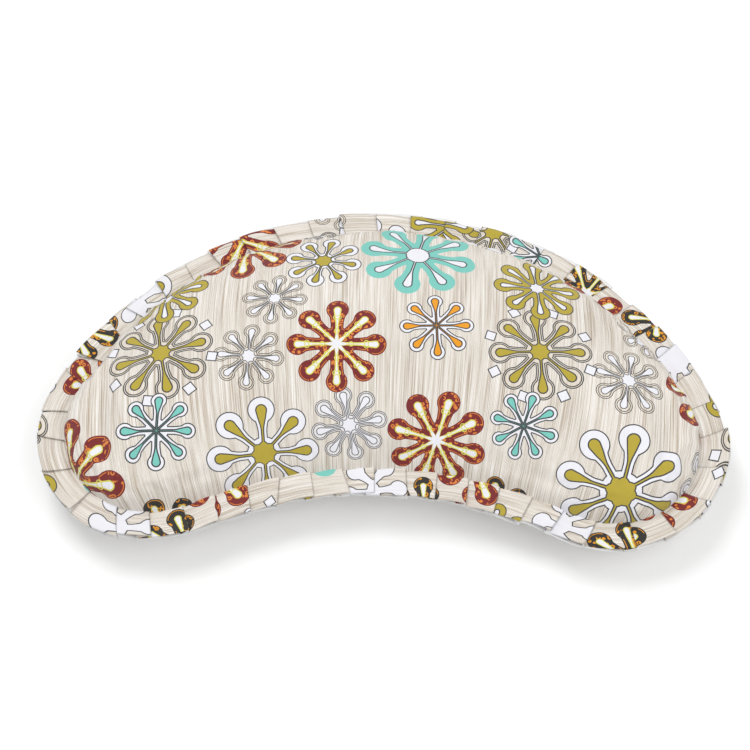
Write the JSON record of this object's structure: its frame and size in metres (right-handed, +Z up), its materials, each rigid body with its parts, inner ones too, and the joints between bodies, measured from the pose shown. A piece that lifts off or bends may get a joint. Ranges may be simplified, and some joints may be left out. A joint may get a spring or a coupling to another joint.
{
  "type": "nursing pillow",
  "caption": "Half-moon nursing pillow with a zipped cotton cover, a flat pleated frill round its seam and a stuffed inner cushion.",
  "frame": {"origin": "on the surface the pillow lies on, under the middle of its bounding box", "axes": "+X from end to end, +Y from the waist hollow to the round back, +Z up from the zipped underside to the printed top"},
  "size_m": [0.644, 0.3638, 0.104],
  "materials": {
    "printed_cotton": "matte woven cotton, large floral print on a cream stripe",
    "plain_cotton": "matte woven cotton, off-white",
    "white_lining": "matte woven cotton, white",
    "cushion_case": "matte non-woven, white",
    "polyester_fibre": "loose fibre, white",
    "zip_tape": "matte woven tape",
    "nylon_teeth": "satin",
    "painted_zip_metal": "satin enamel",
    "label_satin": "satin ribbon, blank"
  },
  "bodies": {
    "pillow": {"top_panel": "printed_cotton", "bottom_panel": "plain_cotton", "frill_right_end": "printed_cotton", "frill_back_right": "printed_cotton", "frill_back_left": "printed_cotton", "frill_left_end": "printed_cotton", "frill_front": "printed_cotton", "frill_lining_right_end": "white_lining", "frill_lining_back_right": "white_lining", "frill_lining_back_left": "white_lining", "frill_lining_left_end": "white_lining", "frill_lining_front": "white_lining", "inner_case_top": "cushion_case", "inner_case_bottom": "cushion_case", "fibre_filling": "polyester_fibre", "zip_tape_upper": "zip_tape", "zip_tape_lower": "zip_tape", "zip_teeth_upper": "nylon_teeth", "zip_teeth_lower": "nylon_teeth", "zip_top_stops": "nylon_teeth", "zip_bottom_stop": "nylon_teeth", "care_label": "label_satin"},
    "slider": {"zip_slider": "painted_zip_metal"},
    "pull_tab": {"zip_pull": "painted_zip_metal"}
  },
  "joints": [
    {"name": "zip_run", "type": "hinge", "parent": "pillow", "child": "slider", "pos_m": [0, -0.1581, 0.0258], "axis": [0, 0, 1], "range_deg": [0, 72.3]},
    {"name": "pull_swing", "type": "hinge", "parent": "slider", "child": "pull_tab", "pos_m": [0.17815, 0.08543, 0.02262], "axis": [-0.4054, -0.5541, -0.7271], "range_deg": [0, 180]}
  ]
}
